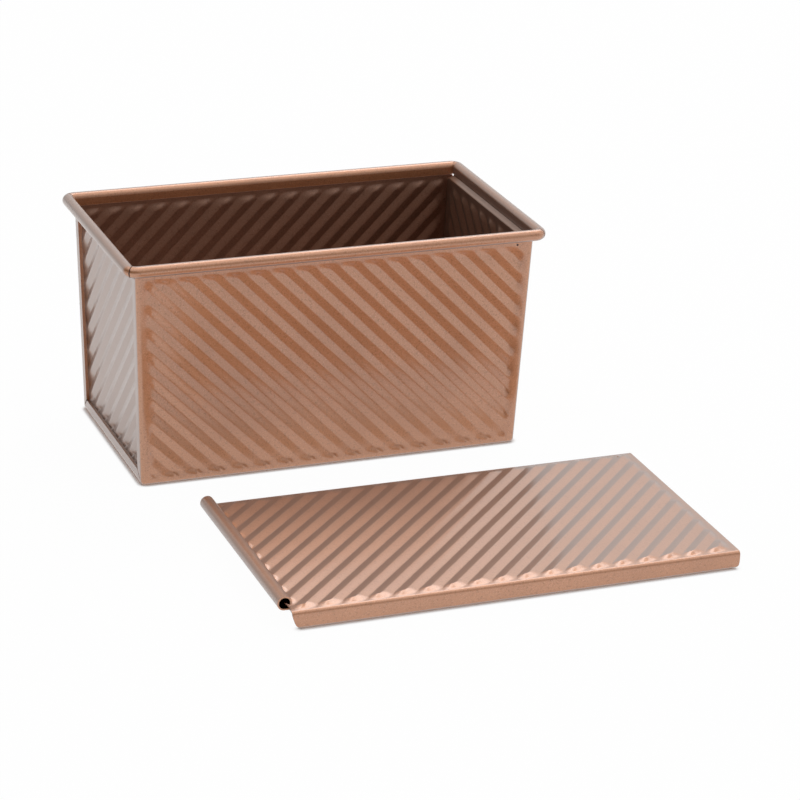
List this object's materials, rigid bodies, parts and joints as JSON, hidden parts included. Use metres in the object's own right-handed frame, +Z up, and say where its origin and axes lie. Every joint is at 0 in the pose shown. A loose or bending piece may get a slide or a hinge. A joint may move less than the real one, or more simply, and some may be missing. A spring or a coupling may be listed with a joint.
{
  "type": "pullman loaf pan",
  "caption": "Tapered rectangular loaf pan of diagonally corrugated sheet with a rolled rim, and its flat corrugated slide-on lid with C-shaped rails, lying in front.",
  "frame": {"origin": "centre of the pan's underside, on the table", "axes": "+X along the pan's length, to the open end of the lid; +Y from the lid to the pan; +Z up"},
  "size_m": [0.2448, 0.2758, 0.1132],
  "materials": {
    "coated_steel": "satin metallic non-stick coating, rose gold",
    "wire_steel": "plain drawn wire"
  },
  "bodies": {
    "pan": {"pan_body": "coated_steel", "end_panel_left": "coated_steel", "end_panel_right": "coated_steel", "rim_wire": "wire_steel"},
    "lid": {"lid": "coated_steel"}
  },
  "joints": [
    {"name": "lid_lift", "type": "slide", "parent": "pan", "child": "lid", "axis": [0, 0, 1], "range_m": [0, 0.15]}
  ]
}
